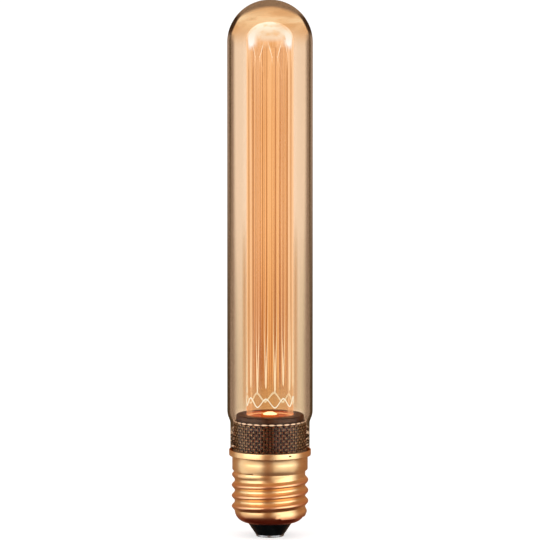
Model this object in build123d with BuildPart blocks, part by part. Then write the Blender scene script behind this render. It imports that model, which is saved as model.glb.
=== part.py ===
from build123d import *
import os
from math import cos, pi, radians, sin

# Tubular LED lamp: a gold glass tube over an acrylic light guide, on a rolled-thread screw cap.
# The origin is the middle of the centre contact's flat underside, and +Z runs up to the glass dome.
# All sizes are in millimetres. Angles go round +Z from the +X side, in degrees.

# Overall length, and the gap left between pieces that are pushed together
overall_length = 185.0
clearance = 0.05

# Glass envelope
glass_radius = 14.65
glass_wall = 0.8
neck_radius = 13.6
neck_bottom = 28.5
neck_edge_bevel = 0.2
shoulder_bottom = 38.9
shoulder_angle = 24.6
shoulder_concave_radius = 4.3
shoulder_radii = (glass_radius - neck_radius) / (1 - cos(radians(shoulder_angle)))
shoulder_convex_radius = shoulder_radii - shoulder_concave_radius
dome_centre = overall_length - glass_radius

# Screw cap shell, rolled from brass strip
shell_wall = 0.35
shell_bottom = 4.9
shell_opening_radius = 7.9
thread_root_radius = 12.12
corner_radius = thread_root_radius - shell_opening_radius
step_bottom = 22.5
skirt_bottom = 23.3
skirt_radius = 12.95
flange_radius = 14.05
flange_bottom = 28.05
flange_top = 30.1
flange_bevel = 0.25
slot_angle = -60.6
slot_width = 1.1
slot_height = 0.5
slot_middle = 29.35

# Edison thread: a round wave that winds up to the right
thread_pitch = 3.629
thread_depth = 1.03
thread_width = 0.9 * thread_pitch
thread_first_crest = 8.6  # on the +X side
thread_start = -90
thread_full_from = 90
thread_full_to = 1230
thread_end = 1390
thread_step = 20
thread_sink = 0.06  # depth of the wave's foot below the wall it stands on
thread_root = 0.3  # depth of the ridge's inner edge below that wall

# Centre contact and insulator
contact_radius = 4.8
contact_thickness = 0.7
contact_bevel = 0.2
insulator_tip_radius = 4.9
insulator_shoulder_radius = 7.7
insulator_seat_radius = 10.5
insulator_seat_edge = 0.35
insulator_top = 6.8
lead_hole_radius = 1.5

# Acrylic light guide
guide_radius = 8.0
guide_bore_radius = 6.4
guide_bottom = 41.0
guide_top = 177.4
guide_dome_height = 6.0
guide_bore_top = 170.4
guide_bore_cone = 1.2
groove_count = 36
groove_bottom = 51.0
groove_top = 168.0
groove_depth = 0.2

# Guide holder, with a foot that stands on the step inside the cap's skirt
holder_radius = 11.6
holder_wall = 1.2
holder_bottom = skirt_bottom + clearance
holder_top = 42.2
holder_rim_bevel = 0.3
foot_radius = skirt_radius - shell_wall - clearance
foot_top = 25.8
rail_reach = 2.3
rail_thickness = 0.8
rail_top = 32.8

# Light source and its heat sink
board_radius = holder_radius - holder_wall - clearance
board_thickness = 1.0
heat_sink_wall = 0.8
heat_sink_floor = 1.5
heat_sink_bottom = 33.0
led_base_radius = 3.0
led_base_height = 1.2
led_dish_radius = 2.4
led_dish_depth = 0.2
led_crown_height = 0.7
led_crown_slope = 0.6
led_crown_width = 1.2

# Woven sleeve round the holder, and the wire along its top edge
sleeve_radius = 12.2
sleeve_wall = 0.4
sleeve_bottom = 30.15
sleeve_top = 39.6
sleeve_columns = 29
sleeve_rows = 4
sleeve_gap_width = 1.2
sleeve_bar_height = 0.7
rim_wire_radius = 0.4
rim_wire_middle = 12.3

# Driver: a board on edge, with the parts that stand on its two faces
driver_width = 18.0
driver_thickness = 1.0
driver_top = 37.0
driver_corner = 1.5
driver_face = driver_thickness / 2 + clearance
wire_radius = 0.4
wire_on_face = driver_face + wire_radius
led_wire_x = 5.2
led_wire_places = [(led_wire_x, wire_on_face), (-led_wire_x, -wire_on_face)]
led_wire_foot = 30.0
led_wire_top = 41.3
contact_wire_top = 10.0
shell_wire_start = 5.5
shell_wire_end = 11.7
shell_wire_height = 12.2

# Parts on the driver board: their places across and up the board, and their sizes
pin_radius = 0.3
pin_out = 0.6
electrolytic_place = (-4.2, 14.5)
electrolytic_radius = 3.15
electrolytic_height = 8.0
electrolytic_bevel = 0.25
electrolytic_pins = (0, 2.5)
film_place = (3.8, 16.0)
film_size = (7.0, 3.0)
film_height = 6.5
film_bevel = 0.4
film_pins = (5.0, 0)
fuse_place = (0.0, 25.0)
fuse_radius = 1.2
fuse_length = 6.5
fuse_lead_reach = 4.6
fuse_bevel = 0.3
fuse_bend_radius = 0.6
chip_resistor_place = (-3.5, 21.0)
chip_resistor_size = (2.0, 1.25, 0.5)
chip_resistor_pitch = (3.2, 2.0)
inductor_place = (3.5, 20.8)
inductor_radius = 3.0
inductor_waist = 1.6
inductor_height = 6.5
inductor_flange = 0.9
winding_radius = 2.7
rectifier_place = (-4.0, 19.0)
rectifier_size = (4.7, 3.9, 2.5)
rectifier_legs = (2.5, 2)  # pitch, and how many on each side
chip_place = (-1.0, 29.0)
chip_size = (3.9, 4.9, 1.5)
chip_legs = (1.27, 4)
chip_bevel = 0.25
leg_reach = 1.0
leg_thickness = 0.2
leg_width = 0.4

os.makedirs("parts", exist_ok=True)


def save(piece, name):
    """Labels a finished piece and writes it as a STEP file."""
    piece.part.label = name
    export_step(piece.part, f"parts/{name}.step")


# Glass envelope: one blown wall from the cut neck, over the shoulder, to the round end
def envelope_curve(inset):
    """Half outline of the glass, a distance in from its outer face."""
    neck = Line((neck_radius - inset, neck_bottom), (neck_radius - inset, shoulder_bottom))
    flare = JernArc(neck @ 1, neck % 1, shoulder_concave_radius + inset, -shoulder_angle)
    crown = JernArc(flare @ 1, flare % 1, shoulder_convex_radius - inset, shoulder_angle)
    Line(crown @ 1, (glass_radius - inset, dome_centre))
    CenterArc((0, dome_centre), glass_radius - inset, 0, 90)


with BuildPart() as glass_envelope:
    with BuildSketch(Plane.XZ):
        with BuildLine():
            envelope_curve(0)
            envelope_curve(glass_wall)
            Line((neck_radius - glass_wall, neck_bottom), (neck_radius, neck_bottom))
            Line((0, overall_length - glass_wall), (0, overall_length))
        make_face()
    revolve(axis=Axis.Z)
    chamfer(glass_envelope.edges().group_by(Axis.Z)[0], neck_edge_bevel)
save(glass_envelope, "glass_envelope")

# Light guide: a bored rod with a domed end, and fine grooves down its bore
guide_shoulder = guide_top - guide_dome_height
with BuildPart() as light_guide:
    with BuildSketch(Plane.XZ):
        with BuildLine():
            Polyline(
                (0, guide_top),
                (0, guide_bore_top),
                (guide_bore_radius - guide_bore_cone, guide_bore_top),
                (guide_bore_radius, guide_bore_top - guide_bore_cone),
                (guide_bore_radius, guide_bottom),
                (guide_radius, guide_bottom),
                (guide_radius, guide_shoulder),
            )
            Spline(
                (guide_radius, guide_shoulder), (0, guide_top), tangents=[(0, 1), (-1, 0)]
            )
        make_face()
    revolve(axis=Axis.Z)
    with BuildSketch(Plane.XY.offset(groove_bottom)):
        with PolarLocations(guide_bore_radius, groove_count):
            RegularPolygon(groove_depth, 4)
    extrude(amount=groove_top - groove_bottom, mode=Mode.SUBTRACT)
save(light_guide, "light_guide")

# Guide holder: an upturned cup with a hole for the guide, a foot, and rails for the driver board
with BuildPart() as guide_holder:
    with BuildSketch(Plane.XZ):
        with BuildLine():
            Polyline(
                (holder_radius - holder_wall, holder_bottom),
                (foot_radius, holder_bottom),
                (foot_radius, foot_top),
                (holder_radius, foot_top),
                (holder_radius, holder_top),
                (guide_radius + clearance, holder_top),
                (guide_radius + clearance, guide_bottom + clearance),
                (holder_radius - holder_wall, guide_bottom + clearance),
                close=True,
            )
        make_face()
    revolve(axis=Axis.Z)
    rim = guide_holder.edges().group_by(Axis.Z)[-1].sort_by(SortBy.RADIUS)[-1]
    chamfer(rim, holder_rim_bevel)
    with BuildSketch(Plane.XY.offset(holder_bottom)):
        rail_middle = holder_radius - holder_wall - rail_reach / 2
        with GridLocations(2 * rail_middle, 2 * driver_face + rail_thickness, 2, 2):
            Rectangle(rail_reach + holder_wall / 2, rail_thickness)
    extrude(amount=rail_top - holder_bottom)
save(guide_holder, "guide_holder")

# Heat sink: a turned cup against the underside of the light source's board
with BuildPart() as heat_sink:
    with BuildSketch(Plane.XY.offset(heat_sink_bottom)):
        Circle(board_radius)
        Circle(board_radius - heat_sink_wall, mode=Mode.SUBTRACT)
    extrude(amount=guide_bottom - board_thickness - heat_sink_bottom)
    with BuildSketch(Plane.XY.offset(guide_bottom - board_thickness - heat_sink_floor)):
        Circle(board_radius)
        with Locations(*led_wire_places):
            Circle(wire_radius + clearance, mode=Mode.SUBTRACT)
    extrude(amount=heat_sink_floor)
save(heat_sink, "heat_sink")

with BuildPart() as led_board:
    with BuildSketch(Plane.XY.offset(guide_bottom - board_thickness)):
        Circle(board_radius)
        with Locations(*led_wire_places):
            Circle(wire_radius + clearance, mode=Mode.SUBTRACT)
    extrude(amount=board_thickness)
save(led_board, "led_board")

# Light source: a ceramic base with a dished top, and the phosphor that fills the dish and crowns it
dish_floor = guide_bottom + led_base_height - led_dish_depth
with BuildPart() as led_base:
    with BuildSketch(Plane.XY.offset(guide_bottom)):
        Circle(led_base_radius)
    extrude(amount=led_base_height)
    with BuildSketch(Plane.XY.offset(dish_floor)):
        Circle(led_dish_radius + clearance)
    extrude(amount=led_dish_depth, mode=Mode.SUBTRACT)
save(led_base, "led_base")

with BuildPart() as led_phosphor:
    with BuildSketch(Plane.XY.offset(dish_floor)):
        Circle(led_dish_radius)
    extrude(amount=led_dish_depth + led_crown_height)
    crown = led_phosphor.edges().group_by(Axis.Z)[-1]
    chamfer(crown, led_crown_slope, led_crown_width)
save(led_phosphor, "led_phosphor")

# Woven sleeve: flat strands all round, and rows of gaps that are staggered strand by strand
row_pitch = (sleeve_top - sleeve_bottom - sleeve_bar_height) / sleeve_rows
with BuildPart() as mesh_sleeve:
    with BuildSketch(Plane.XY.offset(sleeve_bottom)):
        for radius, mode in ((sleeve_radius + sleeve_wall, Mode.ADD), (sleeve_radius, Mode.SUBTRACT)):
            RegularPolygon(radius, 2 * sleeve_columns, False, 90 / sleeve_columns, mode=mode)
    extrude(amount=sleeve_top - sleeve_bottom)
    for row in range(sleeve_rows):
        stagger = row % 2 * 180 / sleeve_columns
        with BuildSketch(Plane.XY.offset(sleeve_bottom + sleeve_bar_height + row * row_pitch)):
            with PolarLocations(sleeve_radius + sleeve_wall / 2, sleeve_columns, stagger):
                Rectangle(3 * sleeve_wall, sleeve_gap_width)
        extrude(amount=row_pitch - sleeve_bar_height, mode=Mode.SUBTRACT)
save(mesh_sleeve, "mesh_sleeve")

with BuildPart() as sleeve_rim_wire:
    with BuildSketch(Plane.XZ):
        with Locations((rim_wire_middle, sleeve_top + rim_wire_radius)):
            RegularPolygon(rim_wire_radius, 8, major_radius=False, rotation=22.5)
    revolve(axis=Axis.Z)
save(sleeve_rim_wire, "sleeve_rim_wire")

# Cement ring between the holder and the cap's skirt
with BuildPart() as neck_cement:
    with BuildSketch(Plane.XY.offset(foot_top)):
        Circle(foot_radius)
        Circle(holder_radius + clearance, mode=Mode.SUBTRACT)
    extrude(amount=flange_top - foot_top)
save(neck_cement, "neck_cement")


# Cap shell: corner, thread, skirt, and the flange that cups the glass neck
def shell_curve(inset):
    """Half outline of the shell without its thread, a distance in from its outer face."""
    floor = Line((0, shell_bottom + inset), (shell_opening_radius, shell_bottom + inset))
    wall_foot = (thread_root_radius - inset, shell_bottom + corner_radius)
    Spline(floor @ 1, wall_foot, tangents=[(1, 0), (0, 1)])
    Polyline(
        wall_foot,
        (thread_root_radius - inset, step_bottom),
        (skirt_radius - inset, skirt_bottom),
        (skirt_radius - inset, flange_bottom + inset),
        (flange_radius - inset, flange_bottom + inset),
        (flange_radius - inset, flange_top),
        (0, flange_top),
        (0, shell_bottom + inset),
    )


def thread_plane(angle):
    """Upright plane through the axis, level with the ridge's crest at an angle along the helix."""
    turn = radians(angle)
    crest_height = thread_first_crest + thread_pitch * angle / 360
    return Plane((0, 0, crest_height), (cos(turn), sin(turn), 0), (sin(turn), -cos(turn), 0))


def thread_section(angle, wall_radius, steps):
    """Ridge section: a cosine wave on a wall, which fades in and out at the helix's two ends."""
    rise = (angle - thread_start) / (thread_full_from - thread_start)
    fall = (thread_end - angle) / (thread_end - thread_full_to)
    share = max(min(rise, fall, 1), 0)
    height = thread_sink + thread_depth * share**2 * (3 - 2 * share)
    wave = [
        (
            wall_radius - thread_sink + height * (1 - cos(2 * pi * n / steps)) / 2,
            thread_width * (n / steps - 0.5),
        )
        for n in range(steps + 1)
    ]
    root = wall_radius - thread_root
    return [(root, -thread_width / 2), *wave, (root, thread_width / 2)]


with BuildPart() as shell_cavity:
    with BuildSketch(Plane.XZ):
        with BuildLine():
            shell_curve(shell_wall)
        make_face()
    revolve(axis=Axis.Z)
    for angle in range(thread_start, thread_end + 1, thread_step):
        with BuildSketch(thread_plane(angle)):
            with BuildLine():
                Polyline(*thread_section(angle, thread_root_radius - shell_wall, 2), close=True)
            make_face()
    loft()

with BuildPart() as cap_shell:
    with BuildSketch(Plane.XZ):
        with BuildLine():
            shell_curve(0)
        make_face()
    revolve(axis=Axis.Z)
    flange_edge = cap_shell.edges().filter_by(GeomType.CIRCLE).group_by(SortBy.RADIUS)[-1]
    chamfer(flange_edge.sort_by(Axis.Z)[0], flange_bevel)
    for angle in range(thread_start, thread_end + 1, thread_step):
        with BuildSketch(thread_plane(angle)):
            with BuildLine():
                Polyline(*thread_section(angle, thread_root_radius, 6), close=True)
            make_face()
    loft()
    add(shell_cavity.part, mode=Mode.SUBTRACT)
    with BuildSketch(Plane.XY.offset(shell_bottom)):
        Circle(shell_opening_radius)
    extrude(amount=shell_wall, mode=Mode.SUBTRACT)
    with BuildSketch(Plane.XY.offset(slot_middle - slot_height / 2)):
        with PolarLocations(flange_radius, 1, slot_angle):
            Rectangle(3 * shell_wall, slot_width)
    extrude(amount=slot_height, mode=Mode.SUBTRACT)
save(cap_shell, "cap_shell")

# Insulator: a cone below the shell, a waist in its opening, and a seat inside it
with BuildPart() as cap_insulator:
    with BuildSketch(Plane.XZ):
        with BuildLine():
            waist = shell_opening_radius - clearance
            inner_floor = shell_bottom + shell_wall + clearance
            Polyline(
                (lead_hole_radius, contact_thickness),
                (insulator_tip_radius, contact_thickness),
                (insulator_shoulder_radius, shell_bottom - clearance),
                (waist, shell_bottom - clearance),
                (waist, inner_floor),
                (insulator_seat_radius, insulator_top - insulator_seat_edge),
                (insulator_seat_radius, insulator_top),
                (lead_hole_radius, insulator_top),
                close=True,
            )
        make_face()
    revolve(axis=Axis.Z)
save(cap_insulator, "cap_insulator")

with BuildPart() as centre_contact:
    with BuildSketch():
        Circle(contact_radius)
    extrude(amount=contact_thickness)
    chamfer(centre_contact.edges().group_by(Axis.Z)[0], contact_bevel)
save(centre_contact, "centre_contact")

# Driver board: it stands on the insulator, with its edges in the holder's rails
back_face = Plane.XZ.offset(-driver_face)
front_face = Plane.XZ.offset(driver_face)
driver_bottom = insulator_top + clearance


def pin_pair(place, pins):
    """Places of a part's two pins on the board."""
    (x, z), (across, up) = place, pins
    return [(x - across / 2, z - up / 2), (x + across / 2, z + up / 2)]


with BuildPart() as driver_board:
    with BuildSketch(Plane.XZ):
        with Locations((0, driver_bottom)):
            board = Rectangle(
                driver_width, driver_top - driver_bottom, align=(Align.CENTER, Align.MIN)
            )
        chamfer(board.vertices().group_by(Axis.Y)[0], driver_corner)
        with Locations(
            *pin_pair(electrolytic_place, electrolytic_pins),
            *pin_pair(film_place, film_pins),
        ):
            Circle(pin_radius + clearance, mode=Mode.SUBTRACT)
    extrude(amount=driver_thickness / 2, both=True)
save(driver_board, "driver_board")

# Front of the board: two capacitors, a fusible resistor and four chip resistors
with BuildPart() as electrolytic_capacitor:
    with BuildSketch(front_face):
        with Locations(electrolytic_place):
            Circle(electrolytic_radius)
    extrude(amount=electrolytic_height)
    chamfer(electrolytic_capacitor.edges().group_by(Axis.Y)[0], electrolytic_bevel)
    with BuildSketch(front_face):
        with Locations(*pin_pair(electrolytic_place, electrolytic_pins)):
            Circle(pin_radius)
    extrude(amount=-2 * driver_face - pin_out)
save(electrolytic_capacitor, "electrolytic_capacitor")

with BuildPart() as film_capacitor:
    with BuildSketch(front_face):
        with Locations(film_place):
            Rectangle(*film_size)
    extrude(amount=film_height)
    chamfer(film_capacitor.edges().group_by(Axis.Y)[0], film_bevel)
    with BuildSketch(front_face):
        with Locations(*pin_pair(film_place, film_pins)):
            Circle(pin_radius)
    extrude(amount=-2 * driver_face - pin_out)
save(film_capacitor, "film_capacitor")

with BuildPart() as fusible_resistor:
    fuse_depth = -driver_face - fuse_radius
    with BuildSketch(Plane.YZ):
        with Locations((fuse_depth, fuse_place[1])):
            Circle(fuse_radius)
    extrude(amount=fuse_length / 2, both=True)
    chamfer(fusible_resistor.edges().filter_by(GeomType.CIRCLE), fuse_bevel)
    with BuildSketch(Plane.XY.offset(fuse_place[1])):
        with BuildLine():
            FilletPolyline(
                (-fuse_lead_reach, -driver_face),
                (-fuse_lead_reach, fuse_depth),
                (fuse_lead_reach, fuse_depth),
                (fuse_lead_reach, -driver_face),
                radius=fuse_bend_radius,
            )
        trace(line_width=2 * pin_radius)
    extrude(amount=pin_radius, both=True)
save(fusible_resistor, "fusible_resistor")

with BuildPart() as chip_resistors:
    with BuildSketch(front_face):
        with Locations(chip_resistor_place):
            with GridLocations(*chip_resistor_pitch, 2, 2):
                Rectangle(*chip_resistor_size[:2])
    extrude(amount=chip_resistor_size[2])
save(chip_resistors, "chip_resistors")

# Back of the board: a drum inductor with its winding, a bridge rectifier and the driver chip
with BuildPart() as inductor_core:
    with BuildSketch(back_face):
        with Locations(inductor_place):
            Circle(inductor_radius)
    extrude(amount=-inductor_height)
    with BuildSketch(Plane.XZ.offset(-driver_face - inductor_flange)):
        with Locations(inductor_place):
            Circle(inductor_radius)
            Circle(inductor_waist, mode=Mode.SUBTRACT)
    extrude(amount=2 * inductor_flange - inductor_height, mode=Mode.SUBTRACT)
save(inductor_core, "inductor_core")

with BuildPart() as inductor_winding:
    with BuildSketch(Plane.XZ.offset(-driver_face - inductor_flange - clearance)):
        with Locations(inductor_place):
            Circle(winding_radius)
            Circle(inductor_waist + clearance, mode=Mode.SUBTRACT)
    extrude(amount=2 * (inductor_flange + clearance) - inductor_height)
save(inductor_winding, "inductor_winding")


def leg_outline(body_width, middle):
    """Two bent legs and the strip that joins them inside the body, seen from the end."""
    knee = body_width / 2 + leg_reach / 2
    toe = body_width / 2 + leg_reach
    shin = knee - leg_thickness
    half = [
        (shin, driver_face),
        (toe, driver_face),
        (toe, driver_face + leg_thickness),
        (knee, driver_face + leg_thickness),
        (knee, middle + leg_thickness),
    ]
    mirrored = [(-x, y) for x, y in reversed(half)]
    return [(shin, middle), *half, *mirrored, (-shin, middle)]


for name, place, size, (leg_pitch, leg_count) in (
    ("bridge_rectifier", rectifier_place, rectifier_size, rectifier_legs),
    ("driver_chip", chip_place, chip_size, chip_legs),
):
    with BuildPart() as chip:
        with BuildSketch(Plane.XZ.offset(-driver_face - 2 * clearance)):
            with Locations(place):
                Rectangle(*size[:2])
        extrude(amount=-size[2])
        chamfer(chip.edges().group_by(Axis.Y)[-1], chip_bevel)
        for leg in range(leg_count):
            height = place[1] + (leg - (leg_count - 1) / 2) * leg_pitch
            with BuildSketch(Plane((place[0], 0, height))):
                with BuildLine():
                    Polyline(*leg_outline(size[0], driver_face + size[2] / 2), close=True)
                make_face()
            extrude(amount=leg_width / 2, both=True)
    save(chip, name)

# Wires: two up to the light source, one out to the shell and one down to the centre contact
for name, side in (("led_wire_positive", 1), ("led_wire_negative", -1)):
    with BuildPart() as led_wire:
        with BuildSketch(Plane.XY.offset(led_wire_foot)):
            with Locations((side * led_wire_x, side * wire_on_face)):
                Circle(wire_radius)
        extrude(amount=led_wire_top - led_wire_foot)
    save(led_wire, name)

with BuildPart() as shell_wire:
    with BuildSketch(Plane.YZ.offset(-shell_wire_end)):
        with Locations((wire_on_face, shell_wire_height)):
            Circle(wire_radius)
    extrude(amount=shell_wire_end - shell_wire_start)
save(shell_wire, "shell_wire")

with BuildPart() as contact_wire:
    with BuildSketch(Plane.XY.offset(contact_thickness)):
        with Locations((0, wire_on_face)):
            Circle(wire_radius)
    extrude(amount=contact_wire_top - contact_thickness)
save(contact_wire, "contact_wire")
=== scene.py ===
import math
import random
import bpy
import bmesh
from mathutils import Matrix, Vector


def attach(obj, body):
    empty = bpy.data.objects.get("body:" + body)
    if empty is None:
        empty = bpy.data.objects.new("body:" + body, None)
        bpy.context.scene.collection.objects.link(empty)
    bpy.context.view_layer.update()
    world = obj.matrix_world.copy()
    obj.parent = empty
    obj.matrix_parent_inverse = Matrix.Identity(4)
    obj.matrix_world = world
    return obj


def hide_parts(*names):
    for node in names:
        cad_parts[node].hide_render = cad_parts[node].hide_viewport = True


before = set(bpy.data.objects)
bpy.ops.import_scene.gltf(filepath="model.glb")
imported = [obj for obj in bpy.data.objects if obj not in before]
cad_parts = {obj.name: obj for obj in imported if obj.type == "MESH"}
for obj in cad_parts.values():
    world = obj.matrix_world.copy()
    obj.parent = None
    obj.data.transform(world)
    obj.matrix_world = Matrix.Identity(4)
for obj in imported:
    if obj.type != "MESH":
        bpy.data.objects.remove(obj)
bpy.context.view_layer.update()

mm = 0.001
mergeGap = 0.002  # points of a piece closer than this, in millimetres, become one
scene = bpy.context.scene
print("frame loaded:", len(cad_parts), "parts")


def paint(red, green, blue):  # a colour as the screen shows it, 0 to 255, made linear
    def linear(level):
        level /= 255
        return level / 12.92 if level < 0.04045 else ((level + 0.055) / 1.055) ** 2.4
    return (linear(red), linear(green), linear(blue), 1)


glowStrength = 1.6
frontTint = (0.88, 0.74, 0.59)  # what the glass's front lets through


def glow(red, green, blue):  # the emission colour that shows as this through the glass's front
    wanted = paint(red, green, blue)
    return tuple(min(w / (t * glowStrength), 1) for w, t in zip(wanted, frontTint)) + (1,)


class Wire:  # one socket of a node tree, ready for Python maths
    def __init__(self, finish, socket):
        self.finish, self.socket = finish, socket

    def other(self, name):
        return Wire(self.finish, self.socket.node.outputs[name])

    def maths(self, operation, first, second=0.0):
        return self.finish.node("ShaderNodeMath", {"operation": operation}, {0: first, 1: second})

    def __add__(self, other): return self.maths("ADD", self, other)
    def __radd__(self, other): return self.maths("ADD", other, self)
    def __sub__(self, other): return self.maths("SUBTRACT", self, other)
    def __rsub__(self, other): return self.maths("SUBTRACT", other, self)
    def __mul__(self, other): return self.maths("MULTIPLY", self, other)
    def __rmul__(self, other): return self.maths("MULTIPLY", other, self)

    def root(self): return self.maths("SQRT", self)
    def sine(self): return self.maths("SINE", self)
    def most(self, other): return self.maths("MAXIMUM", self, other)
    def least(self, other): return self.maths("MINIMUM", self, other)

    def rise(self, low, high):  # 0 below low, 1 above high, smooth between
        return self.finish.node("ShaderNodeMapRange", {"interpolation_type": "SMOOTHSTEP"},
                                {"Value": self, "From Min": low, "From Max": high})

    def fall(self, low, high):
        return 1 - self.rise(low, high)

    def line(self, middle, reach):  # 1 on a line, 0 past its reach on both sides
        return self.rise(middle - reach, middle) * self.fall(middle, middle + reach)


class Finish:  # a material or a world, with one way to add nodes
    def __init__(self, owner, outputType="ShaderNodeOutputMaterial"):
        owner.use_nodes = True
        self.owner, self.tree = owner, owner.node_tree
        self.tree.nodes.clear()
        self.end = self.tree.nodes.new(outputType)

    def node(self, kind, settings=None, inputs=None, output=0):
        made = self.tree.nodes.new(kind)
        for name, value in (settings or {}).items():
            setattr(made, name, value)
        for name, value in (inputs or {}).items():
            if isinstance(value, Wire):
                self.tree.links.new(value.socket, made.inputs[name])
            else:
                made.inputs[name].default_value = value
        return Wire(self, made.outputs[output])

    def place(self):
        return self.node("ShaderNodeTexCoord", output="Object")

    def axis(self, name):  # one coordinate in millimetres
        return self.node("ShaderNodeSeparateXYZ", inputs={0: self.place()}).other(name) * (1 / mm)

    def across(self):  # distance from the lamp's axis in millimetres
        x, y = self.axis("X"), self.axis("Y")
        return (x * x + y * y).root()

    def noise(self, vector, scale, detail=2):
        return self.node("ShaderNodeTexNoise", inputs={
            "Vector": vector, "Scale": scale, "Detail": detail})

    def stretched(self, across, along, detail=2):  # noise with one scale across, one up the axis
        return self.noise(self.node("ShaderNodeMapping", inputs={
            "Vector": self.place(), "Scale": (across / mm, across / mm, along / mm)}), 1.0, detail)

    def grain(self, perMm, detail=2):
        return self.stretched(perMm, perMm, detail)

    def facing(self):
        return self.node("ShaderNodeLayerWeight", output="Facing")

    def seenDirectly(self):  # 1 for the camera and for rays through glass or off metal
        path = self.node("ShaderNodeLightPath", output="Is Camera Ray")
        return path.most(path.other("Is Glossy Ray")).most(path.other("Is Transmission Ray"))

    def mix(self, factor, first, second):
        return self.node("ShaderNodeMix", {"data_type": "RGBA"},
                         {0: factor, 6: first, 7: second}, output=2)

    def mixShader(self, factor, first, second):
        return self.node("ShaderNodeMixShader", inputs={0: factor, 1: first, 2: second})

    def transparent(self, colour):
        return self.node("ShaderNodeBsdfTransparent", inputs={"Color": colour})

    def glazed(self, shader, gloss):  # a thin reflection, kept under a limit, on a clear shader
        shine = self.node("ShaderNodeBsdfGlossy", inputs={
            "Color": gloss["colour"], "Roughness": gloss["roughness"]})
        fresnel = self.node("ShaderNodeFresnel", inputs={"IOR": gloss["ior"]})
        share = (fresnel * gloss["share"]).least(gloss["limit"])
        return self.done(self.mixShader(share, shader, shine))

    def bump(self, height, strength, depthMm):
        return self.node("ShaderNodeBump", inputs={
            "Height": height, "Strength": strength, "Distance": depthMm * mm})

    def surface(self, **sockets):
        return self.node("ShaderNodeBsdfPrincipled", inputs={
            name.replace("_", " "): value for name, value in sockets.items()})

    def done(self, shader):
        self.tree.links.new(shader.socket, self.end.inputs["Surface"])
        return self.owner


def newFinish(name):
    return Finish(bpy.data.materials.new(name))


def addObject(name, data):
    made = bpy.data.objects.new(name, data)
    scene.collection.objects.link(made)
    return made


def meshFrom(bm, name):
    mesh = bpy.data.meshes.new(name)
    bm.to_mesh(mesh)
    bm.free()
    return mesh


def mergeClose(bm):
    bmesh.ops.remove_doubles(bm, verts=bm.verts, dist=mergeGap)


def finishPiece(bm, name, materials, replaced=(), sharpAngle=35):
    mergeClose(bm)
    bmesh.ops.recalc_face_normals(bm, faces=bm.faces)
    for face in bm.faces:
        face.smooth = True
    bmesh.ops.scale(bm, vec=(mm, mm, mm), verts=bm.verts)
    mesh = meshFrom(bm, name)
    mesh.set_sharp_from_angle(angle=math.radians(sharpAngle))
    for material in materials:
        mesh.materials.append(material)
    piece = addObject(name, mesh)
    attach(piece, "root")
    if replaced:
        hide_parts(*replaced)
    print("piece made:", name, len(mesh.polygons), "faces")


def outline(bm, points):  # a closed chain of edges in the XZ plane, from (radius, height) pairs
    verts = [bm.verts.new((radius, 0, height)) for radius, height in points]
    return verts + [bm.edges.new(pair) for pair in zip(verts, verts[1:] + verts[:1])]


def arc(centre, radius, start, end, steps):
    angles = [math.radians(start + (end - start) * n / steps) for n in range(steps + 1)]
    return [(centre[0] + radius * math.cos(a), centre[1] + radius * math.sin(a)) for a in angles]


def everything(bm):
    return list(bm.verts) + list(bm.edges) + list(bm.faces)


def turn(bm, geometry, steps, copies=False):  # a full turn about the lamp's axis
    bmesh.ops.spin(bm, geom=geometry, cent=(0, 0, 0), axis=(0, 0, 1), angle=2 * math.pi,
                   steps=steps, use_merge=not copies, use_duplicate=copies)


def turnTo(bm, angle):
    bmesh.ops.rotate(bm, verts=bm.verts, cent=(0, 0, 0), matrix=Matrix.Rotation(angle, 3, "Z"))


def ring(radius, height, wireRadius, sides, steps):  # a wire hoop as a bmesh of its own
    bm = bmesh.new()
    section = bmesh.ops.create_circle(bm, segments=sides, radius=wireRadius)["verts"]
    bmesh.ops.rotate(bm, verts=section, cent=(0, 0, 0), matrix=Matrix.Rotation(math.pi / 2, 3, "X"))
    bmesh.ops.translate(bm, verts=section, vec=(radius, 0, height))
    turn(bm, everything(bm), steps)
    return bm


def bar(wireRadius, sides, length, cuts):  # an upright bar on the origin, cut into lengths
    bm = bmesh.new()
    bmesh.ops.create_cone(bm, cap_ends=True, segments=sides, radius1=wireRadius,
                          radius2=wireRadius, depth=length)
    tall = [e for e in bm.edges if abs(e.verts[0].co.z - e.verts[1].co.z) > length / 2]
    bmesh.ops.subdivide_edges(bm, edges=tall, cuts=cuts)
    bmesh.ops.translate(bm, verts=bm.verts, vec=(0, 0, length / 2))
    return bm


def absorb(bm, part):
    mesh = meshFrom(part, "part")
    bm.from_mesh(mesh)
    bpy.data.meshes.remove(mesh)


def heading(vert):
    return math.atan2(vert.co.y, vert.co.x)


def flatAcross(spot):
    return math.hypot(spot.x, spot.y)


def outward(spot):  # the level direction away from the axis
    return Vector((spot.x, spot.y, 0)).normalized()


def moveOut(vert, distance):
    vert.co += outward(vert.co) * distance


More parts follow.
